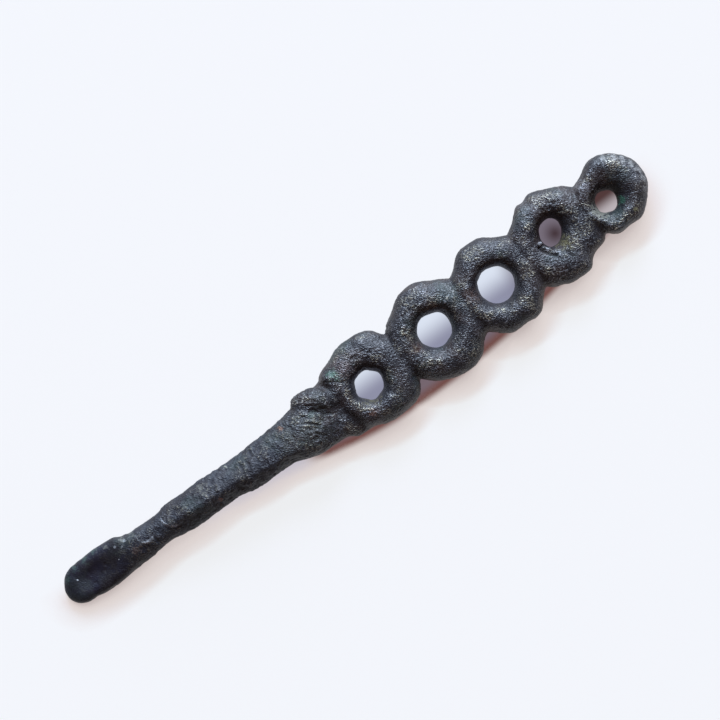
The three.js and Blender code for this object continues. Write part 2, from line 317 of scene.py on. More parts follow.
def lump_surface(middle, reach):
    """Ellipsoid with half-lengths along the three axes."""
    turn = np.linspace(0, 2 * math.pi, 48, endpoint=False)[None]
    tilt = np.linspace(-math.pi / 2, math.pi / 2, 26)[1:-1, None]
    round_part = np.stack([np.cos(tilt) * np.cos(turn), np.cos(tilt) * np.sin(turn), np.sin(tilt) + 0 * turn], -1)
    return closed_grid(np.array(middle) + round_part * np.array(reach), False)


def strand_stop(ring, degrees, lift, sunk):
    """Place on the middle line of a ring's strand, and the strand's radius there."""
    angle = math.radians(degrees)
    inner, outer = ring_reach(ring, np.array(angle))
    middle = (inner + outer) / 2
    radius = min((outer - inner) / 2, RING_THICKNESS / 2) - sunk
    return [
        ring[0] + ring[3] + middle * math.cos(angle),
        ring[1] + ring[4] + middle * math.sin(angle),
        RING_CENTRE_HEIGHT + lift,
        radius,
    ]


def strand_surface(stops):
    """Round strand: a circle of changing radius carried along the curve through the stops."""
    line = curve_through(stops, 120)
    tangent = np.gradient(line[:, :3], axis=0)
    tangent /= np.linalg.norm(tangent, axis=1)[:, None]
    side = np.cross([0.0, 0.0, 1.0], tangent)
    side /= np.linalg.norm(side, axis=1)[:, None]
    up = np.cross(tangent, side)
    angle = np.linspace(0, 2 * math.pi, 64, endpoint=False)[None, :, None]
    end = np.sin(np.clip(np.minimum(np.arange(120), np.arange(120)[::-1]) / 8, 0.05, 1) * math.pi / 2)
    radius = (line[:, 3] * end)[:, None, None]
    points = line[:, None, :3] + radius * (side[:, None] * np.cos(angle) + up[:, None] * np.sin(angle))
    return closed_grid(points, False)


def crossing_surfaces(ring, following):
    """The two strands between neighbouring rings, one over the other, and the web that fills their hollows."""
    hole_end = ring[0] + ring[3] + ring[5] / 2
    hole_start = following[0] + following[3] - following[5] / 2
    seam = (hole_end + hole_start) / 2
    aside = (ring[1] + ring[4] + following[1] + following[4]) / 2
    web = (WEB_SHARE * (hole_start - hole_end), WEB_BREADTH / 2, RING_THICKNESS / 2 - WEB_LOWER)
    made = [lump_surface((seam, aside, RING_CENTRE_HEIGHT), web)]
    for side, lift in ((1, -UNDER_DROP), (-1, OVER_LIFT)):
        leaving = strand_stop(ring, side * 45, lift * 0.45, STRAND_SUNK)
        arriving = strand_stop(following, 180 + side * 45, lift * 0.45, STRAND_SUNK)
        crossing = [seam, aside, RING_CENTRE_HEIGHT + lift, (leaving[3] + arriving[3]) / 2]
        made.append(strand_surface([
            strand_stop(ring, side * 90, 0, 2 * STRAND_SUNK),
            leaving,
            crossing,
            arriving,
            strand_stop(following, 180 + side * 90, 0, 2 * STRAND_SUNK),
        ]))
    return made


def neck_surfaces():
    """Lumps of the neck: a short strand lying across it, and two round lumps beside the first ring."""
    return [strand_surface(NECK_ROLL), *(lump_surface(middle, reach) for middle, reach in NECK_LUMPS)]


# Cast skin

def lattice_noise(points, size, seed):
    """Smooth noise from -1 to 1: random heights on a cubic lattice, blended between the eight nearest."""
    heights = np.random.default_rng(seed).uniform(-1, 1, (64, 64, 64))
    scaled = points / size + 100.5
    cell = np.floor(scaled).astype(int)
    t = scaled - cell
    t = t * t * (3 - 2 * t)
    total = np.zeros(len(points))
    for corner in range(8):
        step = np.array([corner & 1, corner >> 1 & 1, corner >> 2 & 1])
        weight = np.prod(np.where(step, t, 1 - t), axis=1)
        i, j, k = ((cell + step) % 64).T
        total += weight * heights[i, j, k]
    return total


def streaks(points, degrees, length, breadth, seed):
    """Noise whose lumps are drawn out in one direction across the spoon."""
    turn = math.radians(degrees)
    along = points[:, 0] * math.cos(turn) + points[:, 1] * math.sin(turn)
    aside = points[:, 1] * math.cos(turn) - points[:, 0] * math.sin(turn)
    return lattice_noise(np.stack([along / length, aside / breadth, points[:, 2] / breadth], -1), 1, seed)


def skin_height(points):
    """How far the cast skin stands out: lumps of three sizes, fine drawn-out grit, and scattered pits."""
    height = sum(
        depth * lattice_noise(points, size, seed)
        for seed, (size, depth) in enumerate(SKIN_LUMPS, 5)
    )
    behind = np.clip((points[:, 0] + ORIGIN_FROM_TIP - SCOOP_END[0]) / (SCOOP_END[1] - SCOOP_END[0]), 0, 1)
    height += behind * GRIT_HEIGHT * streaks(points, GRAIN_DIRECTION, GRIT_LENGTH, GRIT_BREADTH, 11)
    height -= behind * FACET_HEIGHT * np.abs(lattice_noise(points, FACET_SIZE, 12))
    stem = np.clip((SHAFT_FADES[1] - points[:, 0]) / (SHAFT_FADES[1] - SHAFT_FADES[0]), 0, 1)
    height += (0.4 + 0.6 * behind) * stem * TOOTH_HEIGHT * lattice_noise(points, TOOTH_SIZE, 13)
    pits = np.clip(lattice_noise(points, 0.42, 21) - 0.35, 0, None)
    return height - 0.14 * pits * np.clip(lattice_noise(points, 3.0, 22) + 0.5, 0, 1)


def along_axis(points):
    """Distance from the tip, and place sideways, of points in the row frame."""
    return points[:, 0] + ORIGIN_FROM_TIP, points[:, 1] + ORIGIN_SIDEWAYS


def near_line(x, y, stops):
    """Distance from the line through the stops."""
    nearest = np.full(len(x), np.inf)
    for (x0, y0), (x1, y1) in zip(stops, stops[1:]):
        t = ((x - x0) * (x1 - x0) + (y - y0) * (y1 - y0)) / ((x1 - x0) ** 2 + (y1 - y0) ** 2)
        t = np.clip(t, 0, 1)
        nearest = np.minimum(nearest, np.hypot(x - x0 - t * (x1 - x0), y - y0 - t * (y1 - y0)))
    return nearest


def scales(x, y):
    """Overlapping scales on the shaft: height of their steps, and the thin worn rim of each."""
    height, rim = np.zeros(len(x)), np.zeros(len(x))
    for middle_x, middle_y, radius, step, end, facing, half_angle in SCALES:
        inside = radius - np.hypot(x - middle_x, y - middle_y)
        fading = np.clip((end - x) / (end - middle_x + radius), 0, 1)
        height += step * fading / (1 + np.exp(-inside / 0.05))
        turn = np.degrees(np.arctan2(y - middle_y, x - middle_x)) - facing
        near = hill(((turn + 180) % 360 - 180) / half_angle)
        rim += np.sqrt(near) * np.exp(-((inside / 0.1) ** 2))
    return height, rim


def marks_height(points):
    """Single marks of the casting: scales on the shaft, grooves and wrinkles on the neck, a flash on ring 4."""
    x, y = along_axis(points)
    above = np.clip((points[:, 2] - 1.4) / 0.8, 0, 1)
    height, rim = scales(x, y)
    height += 0.05 * rim
    for depth, width, stops in MARK_LINES:
        height += depth * np.exp(-((near_line(x, y, stops) / width) ** 2))
    for middle_x, middle_y, radius, rise in MARK_BUMPS:
        height += rise * hill(np.hypot(x - middle_x, y - middle_y) / radius)
    for middle_x, half_length, depth, degrees, length, breadth, seed in WRINKLED:
        folds = streaks(points, degrees, length, breadth, seed)
        height += depth * hill(np.abs(x - middle_x) / half_length) * (1 - 2 * np.abs(folds))
    return height * above, rim * above


# Meshes

def joined(surfaces):
    """One mesh of all the surfaces, each of them closed."""
    vertices, faces, start = [], [], 0
    for points, groups in surfaces:
        vertices.append(points)
        for group in groups:
            faces.extend((group + start).tolist())
        start += len(points)
    mesh = bpy.data.meshes.new("casting")
    mesh.from_pydata(np.vstack(vertices).tolist(), [], faces)
    mesh.update()
    return mesh


def positions(mesh):
    points = np.empty(len(mesh.vertices) * 3, np.float32)
    mesh.vertices.foreach_get("co", points)
    return points.reshape(-1, 3).astype(float)


def normals(mesh):
    directions = np.empty(len(mesh.vertices) * 3, np.float32)
    mesh.vertices.foreach_get("normal", directions)
    return directions.reshape(-1, 3).astype(float)


def set_positions(mesh, points):
    mesh.vertices.foreach_set("co", points.astype(np.float32).ravel())
    mesh.update()


def relaxed(points, edges, passes):
    """Each pass moves every point halfway to the mean of its neighbours."""
    count = len(points)
    ends = np.concatenate([edges[:, 0], edges[:, 1]])
    others = np.concatenate([edges[:, 1], edges[:, 0]])
    degree = np.bincount(ends, minlength=count)[:, None]
    for _ in range(passes):
        around = np.stack([np.bincount(ends, points[others, k], count) for k in range(3)], -1)
        points = points + 0.5 * (around / degree - points)
    return points


def fused(mesh):
    """The overlapping surfaces as one skin, with its creases filled as molten metal fills them."""
    source = bpy.data.objects.new("casting", mesh)
    bpy.context.scene.collection.objects.link(source)
    remesh = source.modifiers.new("skin", "REMESH")
    remesh.mode = "VOXEL"
    remesh.voxel_size = VOXEL
    skin = bpy.data.meshes.new_from_object(source.evaluated_get(bpy.context.evaluated_depsgraph_get()))
    bpy.data.objects.remove(source)
    edges = np.empty(len(skin.edges) * 2, np.int32)
    skin.edges.foreach_get("vertices", edges)
    edges = edges.reshape(-1, 2)
    set_positions(skin, relaxed(positions(skin), edges, BLEND_PASSES))
    return skin, edges


def add_floats(mesh, name, values):
    mesh.attributes.new(name, "FLOAT", "POINT").data.foreach_set("value", values.astype(np.float32))


def cast_skin():
    """The whole casting in the row frame, in millimetres, with its relief kept as attributes for the finish."""
    surfaces = [stem_surface(), *neck_surfaces()]
    for i, ring in enumerate(RINGS):
        surfaces.append(ring_surface(ring))
        if i:
            surfaces.extend(crossing_surfaces(RINGS[i - 1], ring))
    mesh, edges = fused(joined(surfaces))
    points = positions(mesh) - [ORIGIN_FROM_TIP, ORIGIN_SIDEWAYS, 0]
    set_positions(mesh, points)
    marks, rim = marks_height(points)
    rough = points + normals(mesh) * (skin_height(points) + marks)[:, None]
    rough = relaxed(rough, edges, 1)
    low, high = (np.array(corner) / MM for corner in (cad_low, cad_high))
    rough = np.clip(rough, low, high)
    set_positions(mesh, rough)
    out = normals(mesh)
    smooth = relaxed(rough, edges, 60)
    crest = np.einsum("ij,ij->i", rough - smooth, out)
    add_floats(mesh, "crest", crest)
    # Worn crests: real wear, which the patina also uses for painted sheen and sparkle
    level = np.clip((np.abs(out[:, 2]) - 0.45) / 0.45, 0, 1)
    add_floats(mesh, "wear", np.clip(0.2 + crest / 0.1, 0, 1) * level)
    add_floats(mesh, "rim", rim)
    add_floats(mesh, "upward", np.abs(out[:, 2]))
    skin = mesh.attributes.new("skin", "FLOAT_VECTOR", "POINT")
    skin.data.foreach_set("vector", out.astype(np.float32).ravel())
    return mesh


def slab(mesh, start, end):
    """The faces of the casting that reach between two planes, with the skin's attributes."""
    quads = np.empty(len(mesh.loops), np.int32)
    mesh.loops.foreach_get("vertex_index", quads)
    quads = quads.reshape(-1, 4)
    points = positions(mesh)
    x = points[quads, 0]
    quads = quads[(x.max(1) > start - VOXEL) & (x.min(1) < end + VOXEL)]
    kept, quads = np.unique(quads, return_inverse=True)
    part = bpy.data.meshes.new("slab")
    part.from_pydata(points[kept], [], quads.reshape(-1, 4))
    for name in ("crest", "wear", "rim", "upward"):
        values = np.empty(len(points), np.float32)
        mesh.attributes[name].data.foreach_get("value", values)
        add_floats(part, name, values[kept])
    out = np.empty(len(points) * 3, np.float32)
    mesh.attributes["skin"].data.foreach_get("vector", out)
    skin = part.attributes.new("skin", "FLOAT_VECTOR", "POINT")
    skin.data.foreach_set("vector", out.reshape(-1, 3)[kept].ravel())
    return part


def section(mesh, name, start, end):
    """One section of the casting between two planes square to its axis, closed at its cuts."""
    near = slab(mesh, start, end)
    work = bmesh.new()
    work.from_mesh(near)
    bpy.data.meshes.remove(near)
    for place, inwards in ((start, -1), (end, 1)):
        everything = [*work.verts, *work.edges, *work.faces]
        cut = bmesh.ops.bisect_plane(
            work, geom=everything, plane_co=(place, 0, 0), plane_no=(inwards, 0, 0),
            clear_outer=True, dist=1e-6,
        )
        rim = [e for e in cut["geom_cut"] if isinstance(e, bmesh.types.BMEdge)]
        if rim:
            filled = bmesh.ops.holes_fill(work, edges=rim, sides=0)
            bmesh.ops.triangulate(work, faces=filled["faces"])
    part = bpy.data.meshes.new(name)
    work.to_mesh(part)
    work.free()
    part.shade_smooth()
    skin = np.empty(len(part.vertices) * 3, np.float32)
    part.attributes["skin"].data.foreach_get("vector", skin)
    corner = np.empty(len(part.loops), np.int32)
    part.loops.foreach_get("vertex_index", corner)
    directions = skin.reshape(-1, 3)[corner]
    flat = np.empty(len(part.polygons) * 3, np.float32)
    part.polygons.foreach_get("normal", flat)
    flat = flat.reshape(-1, 3)
    sizes = np.empty(len(part.polygons), np.int32)
    part.polygons.foreach_get("loop_total", sizes)
    middles = np.empty(len(part.polygons) * 3, np.float32)
    part.polygons.foreach_get("center", middles)
    on_cut = np.minimum(abs(middles[::3] - start), abs(middles[::3] - end)) < 1e-4
    directions = np.where(np.repeat(on_cut, sizes)[:, None], np.repeat(flat, sizes, 0), directions)
    set_positions(part, positions(part) * MM)
    part.normals_split_custom_set(directions.tolist())
    part.attributes.remove(part.attributes["skin"])
    piece = bpy.data.objects.new(name + "_casting", part)
    bpy.context.scene.collection.objects.link(piece)
    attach(piece, "root")
    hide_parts(name)
    return piece


# Finishes

class Finish:
    """A material being made, with one method that adds any node."""

    def __init__(self, name):
        self.material = bpy.data.materials.new(name)
        self.material.use_nodes = True
        self.tree = self.material.node_tree
        self.surface = next(n for n in self.tree.nodes if n.type == "BSDF_PRINCIPLED")
        self.output = next(n for n in self.tree.nodes if n.type == "OUTPUT_MATERIAL")
        place = self.node("ShaderNodeTexCoord").outputs["Object"]
        self.place = self.vector("SCALE", n0=place, Scale=1 / MM)

    def node(self, kind, settings=None, **inputs):
        """A new node. An input is given by its name, or as n and its number."""
        made = self.tree.nodes.new(kind)
        for key, value in (settings or {}).items():
            setattr(made, key, value)
        for key, value in inputs.items():
            numbered = key[0] == "n" and key[1:].isdigit()
            self.feed(made.inputs[int(key[1:]) if numbered else key.replace("_", " ")], value)
        return made

    def feed(self, socket, value):
        if isinstance(value, Value):
            value = value.socket
        if isinstance(value, bpy.types.NodeSocket):
            self.tree.links.new(value, socket)
        elif hasattr(value, "__len__"):
            socket.default_value = (*value, 1) if len(socket.default_value) == 4 and len(value) == 3 else value
        else:
            socket.default_value = value

    def vector(self, operation, **inputs):
        return self.node("ShaderNodeVectorMath", {"operation": operation}, **inputs).outputs[0]

    def noise(self, size, detail=3.0, rough=0.55, place=None):
        """Noise from 0 to 1 with lumps of that size in millimetres."""
        place = place or self.place
        made = self.node("ShaderNodeTexNoise", Vector=place, Scale=1 / size, Detail=detail, Roughness=rough)
        return Value(self, made.outputs["Fac"])

    def drawn_out(self, degrees, stretch):
        """Places squeezed in one direction across the spoon, so that noise there is drawn out."""
        turned = self.node("ShaderNodeVectorRotate", {"rotation_type": "Z_AXIS"}, Vector=self.place,
                           Angle=-math.radians(degrees)).outputs[0]
        return self.vector("MULTIPLY", n0=turned, n1=(1 / stretch, 1, 1))

    def attribute(self, name):
        made = self.node("ShaderNodeAttribute", {"attribute_name": name})
        return Value(self, made.outputs["Fac"])

    def away(self, x, y):
        """Distance in millimetres from a place seen from above, counted in the row frame."""
        flat = self.vector("MULTIPLY", n0=self.place, n1=(1, 1, 0))
        made = self.node("ShaderNodeVectorMath", {"operation": "DISTANCE"}, n0=flat, n1=(x, y, 0))
        return Value(self, made.outputs["Value"])

    def mix(self, share, under, over):
        made = self.node("ShaderNodeMix", {"data_type": "RGBA"})
        for index, value in ((0, share), (6, under), (7, over)):
            self.feed(made.inputs[index], value)
        return made.outputs[2]

    def part_of(self, value, low, high):
        """0 below low, 1 above high, and smooth between."""
        smooth = {"interpolation_type": "SMOOTHSTEP"}
        made = self.node("ShaderNodeMapRange", smooth, Value=value, From_Min=low, From_Max=high)
        return Value(self, made.outputs["Result"])


class Value:
    """A socket that takes part in sums."""

    def __init__(self, finish, socket):
        self.finish = finish
        self.socket = socket

    def sum(self, operation, first, second):
        made = self.finish.node("ShaderNodeMath", {"operation": operation}, n0=first, n1=second)
        return Value(self.finish, made.outputs[0])

    def __add__(self, other):
        return self.sum("ADD", self, other)

    __radd__ = __add__

    def __sub__(self, other):
        return self.sum("SUBTRACT", self, other)

    def __rsub__(self, other):
        return self.sum("SUBTRACT", other, self)

    def __mul__(self, other):
        return self.sum("MULTIPLY", self, other)

    __rmul__ = __mul__

    def within(self, low, high):
        return self.sum("MINIMUM", self.sum("MAXIMUM", self, low), high)


# Colours

def shade(red, green, blue):
    """Linear colour of a screen colour given from 0 to 255."""
    share = np.array([red, green, blue]) / 255
    return tuple(np.where(share < 0.04045, share / 12.92, ((share + 0.055) / 1.055) ** 2.4))


CHARCOAL = shade(36, 35, 40)
BLUE_GREY = shade(35, 38, 47)
BLUE_BLACK = shade(26, 27, 42)
SOOT_AND_SHADE = shade(25, 24, 31)
SILVER_GREY = shade(212, 212, 218)
CREAM = shade(206, 198, 174)
RECESS_BROWN = shade(48, 40, 40)
WARM_BROWN = shade(58, 48, 46)
GREEN_GREY = shade(56, 72, 68)
VERDIGRIS = shade(70, 118, 96)
OLIVE = shade(118, 112, 80)
MOSS = shade(48, 52, 42)
RUST = shade(116, 76, 52)
PINK_BROWN = shade(112, 96, 94)
PALE_DEPOSIT = shade(150, 148, 134)
RIM_GREY_AND_HIGHLIGHT = shade(182, 180, 176)
SPECK_WHITE = shade(214, 218, 222)

GRIT_SIZE = 0.112
SHEEN = 0.5

# Deposits, and patches of painted shade and painted highlight: x and y in the row frame, radius, colour and how much
# of it
DEPOSITS_AND_PAINTED_LIGHT = [
    # Darker patches on the neck's lower side, then painted shade on the first ring's lower strand
    (-8.6, -1.2, 1.6, SOOT_AND_SHADE, 0.55),
    (-11.6, -0.9, 1.1, SOOT_AND_SHADE, 0.45),
    (1.7, -3.1, 1.5, SOOT_AND_SHADE, 0.5),
    (3.7, -2.5, 1.1, SOOT_AND_SHADE, 0.5),
    (22.0, 3.4, 1.5, SILVER_GREY, 0.08),
    (23.4, -2.8, 1.3, SILVER_GREY, 0.08),
    (31.3, 0.2, 0.9, SILVER_GREY, 0.08),
    # Painted shade round the end ring's hole
    (30.5, -0.3, 1.3, SOOT_AND_SHADE, 0.7),
    (30.2, 1.2, 1.1, SOOT_AND_SHADE, 0.6),
    (29.27, -0.58, 0.5, VERDIGRIS, 0.5),
    (27.05, -0.31, 1.2, PALE_DEPOSIT, 0.5),
    (21.03, 0.52, 0.24, SILVER_GREY, 0.3),
    (21.25, -0.32, 0.2, SILVER_GREY, 0.4),
    # Pale band on the end ring's upper and outer rim: worn metal and painted highlight
    (27.2, 2.24, 0.8, SILVER_GREY, 0.22),
    (30.2, 3.35, 0.5, RIM_GREY_AND_HIGHLIGHT, 0.3),
    (30.95, 2.9, 0.5, RIM_GREY_AND_HIGHLIGHT, 0.48),
    (31.5, 2.3, 0.45, RIM_GREY_AND_HIGHLIGHT, 0.48),
    (31.9, 1.55, 0.4, RIM_GREY_AND_HIGHLIGHT, 0.45),
    (32.1, 0.7, 0.4, RIM_GREY_AND_HIGHLIGHT, 0.45),
    (32.0, -0.15, 0.35, RIM_GREY_AND_HIGHLIGHT, 0.4),
    (31.7, -1.0, 0.35, RIM_GREY_AND_HIGHLIGHT, 0.28),
    (29.74, -2.05, 0.32, OLIVE, 0.75),
    (22.9, -0.7, 0.9, OLIVE, 0.6),
    (13.18, 0.41, 1.0, RUST, 0.18),
    (6.57, -0.45, 0.7, RUST, 0.2),
    (-0.1, 2.13, 1.1, PINK_BROWN, 0.5),
    (-1.18, 2.13, 0.7, VERDIGRIS, 0.45),
    (-0.22, -2.76, 0.5, RUST, 0.4),
    (0.44, -1.61, 0.9, OLIVE, 0.4),
    (-4.82, 0.36, 0.6, GREEN_GREY, 0.6),
    (-5.5, -0.8, 2.2, MOSS, 0.4),
    (-7.6, 0.2, 1.6, MOSS, 0.35),
    (-3.5, 1.2, 1.3, MOSS, 0.35),
    (-7.92, 1.09, 0.32, RUST, 0.7),
    (-15.97, -0.92, 0.28, RUST, 0.7),
    (-13.9, 1.27, 0.18, PALE_DEPOSIT, 0.7),
    (-24.87, 0.01, 0.7, RUST, 0.2),
    (-20.9, 0.15, 0.4, PALE_DEPOSIT, 0.25),
    (-16.9, 1.0, 0.6, PALE_DEPOSIT, 0.25),
    (-25.5, 1.5, 0.45, PALE_DEPOSIT, 0.3),
    (-24.4, 1.55, 0.4, PALE_DEPOSIT, 0.25),
    (-26.0, 0.6, 0.5, PALE_DEPOSIT, 0.14),
    (-27.0, 1.9, 0.3, PALE_DEPOSIT, 0.25),
    # Green-grey line along the scoop's upper edge: worn edge and painted highlight
    (-28.2, 2.25, 0.4, GREEN_GREY, 0.7),
    (-29.3, 2.1, 0.45, GREEN_GREY, 0.7),
    (-30.5, 1.95, 0.4, GREEN_GREY, 0.7),
    (-31.6, 1.5, 0.4, GREEN_GREY, 0.7),
    (-30.85, 0.97, 0.12, SPECK_WHITE, 0.7),
    (-26.3, 1.34, 0.16, SPECK_WHITE, 0.3),
    (-25.76, 1.01, 0.12, SPECK_WHITE, 0.35),
    (-25.27, 1.3, 0.16, SPECK_WHITE, 0.3),
    (-26.7, 0.24, 0.08, SPECK_WHITE, 0.5),
]


def patina(name, reach):
    """Dark matt patina: clouds of soot, brown in the recesses, pale speckles where it is worn, which on the crests
    also stand in as painted sparkle and sheen, deposits, and patches of painted shade and painted highlight.

    Its colours, speckles and grain change along the spoon, so both sides of a cut look the same.
    """
    finish = Finish(name)
    crest, wear, rim, upward = (finish.attribute(kind) for kind in ("crest", "wear", "rim", "upward"))
    along = finish.node("ShaderNodeSeparateXYZ", Vector=finish.place).outputs[0]
    past_scoop = finish.part_of(along, *SCOOP_FADES)
    past_shaft = finish.part_of(along, *SHAFT_FADES)

    def by_zone(scoop, shaft, rings):
        return scoop + (shaft - scoop) * past_scoop + (rings - shaft) * past_shaft

    clouds = finish.noise(2.4, 3)
    fine = finish.noise(0.34, 3, 0.6)
    grit = finish.noise(GRIT_SIZE, 1, 0.5, finish.drawn_out(GRAIN_DIRECTION, 1.7))
    base = finish.mix(past_shaft, finish.mix(past_scoop, BLUE_BLACK, BLUE_GREY), CHARCOAL)
    colour = finish.mix(finish.part_of(clouds + 0.3 * (fine - 0.5), 0.42, 0.66), base, SOOT_AND_SHADE)
    brown = finish.part_of(finish.noise(1.9, 3), 0.45, 0.62) * by_zone(0.0, 0.15, 0.6)
    colour = finish.mix(brown, colour, WARM_BROWN)
    green_patch = finish.part_of(finish.noise(3.4, 3) + 0.25 * (fine - 0.5), 0.52, 0.68)
    colour = finish.mix(green_patch * by_zone(0.2, 0.3, 0.35), colour, GREEN_GREY)
    recess = finish.part_of(0.0 - crest, 0.0, 0.14)
    colour = finish.mix(recess * finish.part_of(fine, 0.3, 0.7) * 0.7, colour, RECESS_BROWN)
    patch = finish.part_of(finish.noise(1.5, 2), 0.4, 0.6)
    # Pale specks and a pale tint on the worn crests: worn metal and painted sparkle and sheen
    polish_and_sheen = wear * by_zone(0.1, 0.42, 1.0) * (0.25 + 0.75 * patch)
    worn_specks_and_sparkle = polish_and_sheen * finish.part_of(grit, 0.54, 0.6)
    speck_and_sparkle_tint = finish.mix(finish.part_of(finish.noise(1.5, 2), 0.46, 0.6), SILVER_GREY, CREAM)
    colour = finish.mix((0.03 * polish_and_sheen + 0.88 * worn_specks_and_sparkle).within(0, 1), colour, speck_and_sparkle_tint)
    pit = 1.0 - finish.part_of(grit, 0.36, 0.5)
    colour = finish.mix((rim * finish.part_of(fine, 0.34, 0.6) * 0.6).within(0, 1), colour, SPECK_WHITE)
    for x, y, radius, tint, amount in DEPOSITS_AND_PAINTED_LIGHT:
        if reach[0] - 2 * radius < x < reach[1] + 2 * radius:
            ragged = (fine - 0.5) * (3.0 * radius) + (grit - 0.5) * (1.5 * radius)
            spread = radius - finish.away(x, y) + ragged
            colour = finish.mix(finish.part_of(spread, 0, 0.9 * radius) * amount, colour, tint)
    rough = by_zone(0.46, 0.62, 0.44) - 0.1 * worn_specks_and_sparkle + 0.25 * recess + 0.15 * (clouds - 0.5) + 0.15 * pit * past_shaft
    surface = finish.surface
    finish.feed(surface.inputs["Base Color"], colour)
    finish.feed(surface.inputs["Roughness"], rough.within(0.3, 0.95))
    surface.inputs["Specular IOR Level"].default_value = SHEEN
    finish.feed(surface.inputs["Metallic"], (0.05 + 0.5 * worn_specks_and_sparkle).within(0, 1))
    depth = by_zone(0.03, 0.09, 0.09) * (0.3 + 0.7 * finish.part_of(upward, 0.25, 0.8))
    relief = (grit + 0.15 * finish.noise(0.6, 1)) * depth
    bump = finish.node("ShaderNodeBump", Strength=1.0, Distance=MM, Height=relief)
    finish.feed(surface.inputs["Normal"], bump.outputs[0])
    return finish.material


# Surroundings

PICTURE_WIDTH = 65.3
PICTURE_TURN = 36.5
PICTURE_MIDDLE = (1.63, 1.79, 1.6)
LENS = 250.0
SENSOR = 36.0
# The floor is flat to this distance in metres, and then rises as a quarter round of the second size
FLOOR_REACH = 1.95
FLOOR_RISE = 0.25
FLOOR_COLOUR = (0.6, 0.605, 0.74)
# The paper's own colour as the picture shows it, and its share of what is seen of the floor. On the side
# turned from the window the floor's colour is painted shade, warm and then dark as the spoon closes in, which is
# violet beside the shaft and dark red in the notches between the rings
PAPER_GLOW = (0.965, 0.98, 1.0)
WARM_PAINTED_SHADE = (0.85, 0.775, 0.755)
PAINTED_SHADE = (0.565, 0.487, 0.475)
VIOLET_PAINTED_SHADE = (0.53, 0.51, 0.63)
NOTCH_PAINTED_SHADOW = (0.185, 0.08, 0.07)
DEEP_NOTCH_PAINTED_SHADOW = (0.2, 0.15, 0.18)
GLOW_SHARE = 0.86
# How far off the spoon still blocks light from the window's direction, how open a place is where the
# shades begin and end, and where they stop, in millimetres from the upper side and from the middle
SHADE_REACH = 2.8
TO_WINDOW = (0.5, 0.67, 0.55)
OPEN_PLACES = (0.75, 1.0)
UPPER_SIDE = (-0.5, 2.0)
FAR_PLACES = (60.0, 90.0)
CLOSE_PLACES = (0.35, 0.7)
NOTCH_PLACES = (0.6, 0.75)
# Where the violet shade begins and ends in the row frame, in millimetres, and where the dark red shade begins
VIOLET_BEGINS = (-20.0, -17.0)
VIOLET_ENDS = (-8.5, -6.5)
NOTCHES_BEGIN = (-8.0, -5.5)
# The dark red shade's edge sideways, in the row frame, which is lowest at one place and bowed up on both
# sides of it, and where violet shade begins behind it
NOTCH_EDGE = (-5.2, -4.4)
DEEP_NOTCH = (-4.5, -3.5)
NOTCH_LOWEST = 5.0
NOTCH_BOWS = (0.011, 0.0053)
# Painted light and shade on the floor seen through the holes: colours at their upper and lower side, for the first
# three rings and the end ring, then the middle and the rim of the fourth, and their share of what is seen
PAINTED_HOLE_LIGHT = (0.8, 0.87, 1.0)
PAINTED_HOLE_SHADE = (0.3, 0.31, 0.43)
PAINTED_END_HOLE_SHADE = (0.09, 0.045, 0.045)
PAINTED_END_HOLE_LIGHT = (0.55, 0.5, 0.53)
PAINTED_FOURTH_HOLE_SHADOW = (0.055, 0.032, 0.04)
PAINTED_FOURTH_HOLE_EDGE_SHADE = (0.2, 0.17, 0.215)
HOLE_SHARE = 0.88
# Where those begin and end in the row frame, in millimetres
RINGS_REACH = (-1.5, 31.0)
FOURTH_BEGINS = (16.0, 19.0)
FOURTH_ENDS = (24.0, 26.5)
FOURTH_DARKEST = (22.75, 0.5)
FOURTH_FADES = (-0.2, 1.5)
HOLES_BEGIN = (-2.6, -2.0)
HOLES_END = (2.0, 2.6)
HOLES_FADE = (-1.4, 1.3)
END_HOLE_FADES = (-0.8, 0.7)
# Lamps: across and up the picture, height, size in metres, and the light that each gives a white floor
LAMPS = [
    ("window_light", -0.15, 0.9, 0.6, 0.36, (0.47, 0.6, 0.76)),
    ("low_window_light", 0.0, 1.1, 0.36, 0.7, (0.28, 0.31, 0.36)),
    ("room_light", 0.0, 0.0, 1.3, 0.9, (0.05, 0.03, 0.02)),
]
ROOM_COLOUR = (0.11, 0.07, 0.065)


